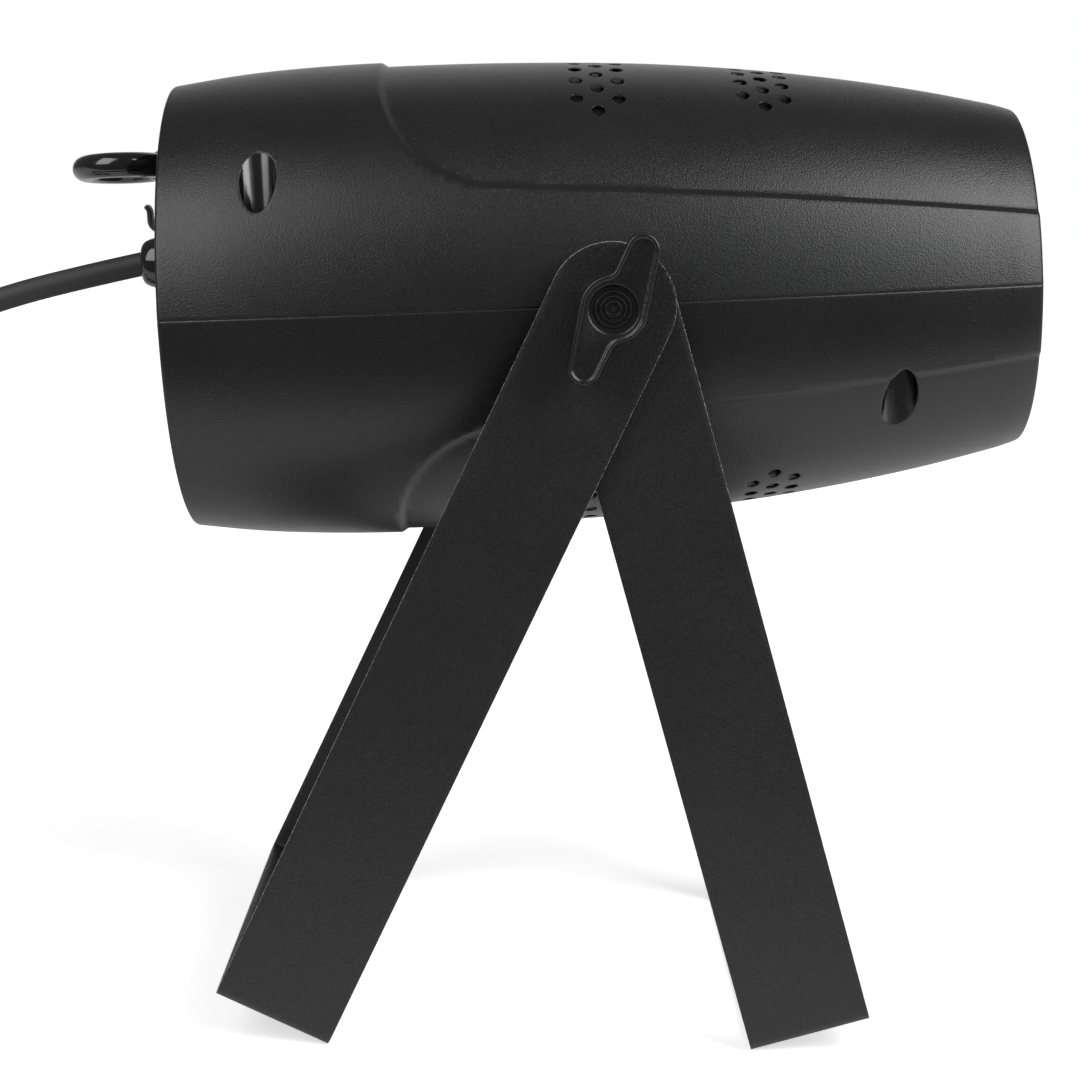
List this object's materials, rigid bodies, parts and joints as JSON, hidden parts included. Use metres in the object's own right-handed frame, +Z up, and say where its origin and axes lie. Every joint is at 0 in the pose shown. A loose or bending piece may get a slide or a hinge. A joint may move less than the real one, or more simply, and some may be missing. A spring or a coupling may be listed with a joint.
{
  "type": "pinspot light",
  "caption": "Pinspot light: long black clamshell housing with a lens, tilted between two folding steel brackets on wing knobs, with a rear panel and a mains cord.",
  "frame": {"origin": "middle of the light's footprint without its cord, on the surface the brackets stand on", "axes": "+X the way the lens points, +Y to the light's left seen from behind, +Z up"},
  "size_m": [0.5135, 0.182, 0.2793],
  "materials": {
    "housing_plastic": "fine-grained black ABS with a soft sheen",
    "panel_plastic": "plain black moulding",
    "ring_plastic": "smooth black ring",
    "knob_plastic": "fine-grained black nylon",
    "black_screw": "black oxide",
    "lens_glass": "clear and polished",
    "clear_plastic": "clear acrylic",
    "gasket_rubber": "soft black",
    "bracket_paint": "fine-textured black powder coat, thin at the edges",
    "eye_steel": "glossy black enamel",
    "zinc_steel": "bright zinc plate",
    "raw_aluminium": "as extruded",
    "board_green": "solder mask",
    "led_yellow": "phosphor under silicone",
    "part_black": "moulded black",
    "display_tint": "dark tinted pane",
    "button_plastic": "satin black",
    "contact_metal": "bright plated",
    "tab_grey": "dark grey",
    "gland_plastic": "glossy black nylon",
    "cord_sheath": "matt dark grey sheath",
    "tie_strap": "woven black strap",
    "plug_rubber": "matt black"
  },
  "bodies": {
    "lamp": {"upper_shell": "housing_plastic", "lower_shell": "housing_plastic", "collimator_holder": "housing_plastic", "lens_tube": "housing_plastic", "rear_panel": "panel_plastic", "fan_frame": "panel_plastic", "gland_locknut": "panel_plastic", "lens_ring": "ring_plastic", "shell_screws": "black_screw", "rear_panel_screws": "black_screw", "lens_ring_screws": "black_screw", "socket_screws": "black_screw", "fan_screws": "black_screw", "front_lens": "lens_glass", "collimator": "clear_plastic", "lens_gasket": "gasket_rubber", "friction_washers": "gasket_rubber", "safety_eye": "eye_steel", "chassis_frame": "zinc_steel", "pivot_nuts": "zinc_steel", "eye_nut": "zinc_steel", "driver_standoffs": "zinc_steel", "control_standoffs": "zinc_steel", "heat_sink": "raw_aluminium", "driver_board": "board_green", "control_board": "board_green", "led_board": "board_green", "led_emitter": "led_yellow", "driver_parts": "part_black", "button_switches": "part_black", "display_module": "part_black", "data_input": "part_black", "data_output": "part_black", "display_window": "display_tint", "data_input_pins": "contact_metal", "plug_pins": "contact_metal", "gland_body": "gland_plastic", "gland_dome": "gland_plastic", "mains_cord": "cord_sheath", "cord_coil": "cord_sheath", "cord_tail": "cord_sheath", "cord_tie": "tie_strap", "mains_plug": "plug_rubber"},
    "outer_bracket_body": {"outer_bracket": "bracket_paint"},
    "inner_bracket_body": {"inner_bracket": "bracket_paint"},
    "right_knob_body": {"right_knob": "knob_plastic", "right_stud": "zinc_steel"},
    "left_knob_body": {"left_knob": "knob_plastic", "left_stud": "zinc_steel"},
    "right_washer_body": {"right_washer": "zinc_steel"},
    "left_washer_body": {"left_washer": "zinc_steel"},
    "fan_rotor_body": {"fan_rotor": "panel_plastic"},
    "release_tab_body": {"release_tab": "tab_grey"},
    "menu_button_body": {"menu_button": "button_plastic"},
    "down_button_body": {"down_button": "button_plastic"},
    "up_button_body": {"up_button": "button_plastic"},
    "enter_button_body": {"enter_button": "button_plastic"}
  },
  "joints": [
    {"name": "outer_bracket_hinge", "type": "hinge", "parent": "lamp", "child": "outer_bracket_body", "pos_m": [0.01735, 0, 0.21152], "axis": [0, -1, 0], "range_deg": [-45, 204]},
    {"name": "inner_bracket_hinge", "type": "hinge", "parent": "lamp", "child": "inner_bracket_body", "pos_m": [0.01735, 0, 0.21152], "axis": [0, -1, 0], "range_deg": [-85, 163]},
    {"name": "right_washer_slide", "type": "slide", "parent": "lamp", "child": "right_washer_body", "axis": [0, -1, 0], "range_m": [0, 0.0025]},
    {"name": "right_knob_turn", "type": "hinge", "parent": "right_washer_body", "child": "right_knob_body", "pos_m": [0.01735, 0, 0.21152], "axis": [0, -1, 0], "range_deg": [0, 720]},
    {"name": "left_washer_slide", "type": "slide", "parent": "lamp", "child": "left_washer_body", "axis": [0, 1, 0], "range_m": [0, 0.0025]},
    {"name": "left_knob_turn", "type": "hinge", "parent": "left_washer_body", "child": "left_knob_body", "pos_m": [0.01735, 0, 0.21152], "axis": [0, 1, 0], "range_deg": [0, 720]},
    {"name": "menu_button_press", "type": "slide", "parent": "lamp", "child": "menu_button_body", "axis": [0.998, 0, 0.0631], "range_m": [0, 0.0006], "stiffness_N_per_m": 1500},
    {"name": "down_button_press", "type": "slide", "parent": "lamp", "child": "down_button_body", "axis": [0.998, 0, 0.0631], "range_m": [0, 0.0006], "stiffness_N_per_m": 1500},
    {"name": "up_button_press", "type": "slide", "parent": "lamp", "child": "up_button_body", "axis": [0.998, 0, 0.0631], "range_m": [0, 0.0006], "stiffness_N_per_m": 1500},
    {"name": "enter_button_press", "type": "slide", "parent": "lamp", "child": "enter_button_body", "axis": [0.998, 0, 0.0631], "range_m": [0, 0.0006], "stiffness_N_per_m": 1500},
    {"name": "fan_spin", "type": "hinge", "parent": "lamp", "child": "fan_rotor_body", "pos_m": [0.01735, 0, 0.21152], "axis": [0.998, 0, 0.0631], "continuous": true},
    {"name": "release_tab_press", "type": "hinge", "parent": "lamp", "child": "release_tab_body", "pos_m": [-0.10807, 0.006, 0.22684], "axis": [0, -1, 0], "range_deg": [0, 12], "stiffness_Nm_per_rad": 0.2}
  ],
  "couplings": [
    {"joint": "right_washer_slide", "follows": "right_knob_turn", "m_per_rad": 0.00019894},
    {"joint": "left_washer_slide", "follows": "left_knob_turn", "m_per_rad": 0.00019894}
  ]
}
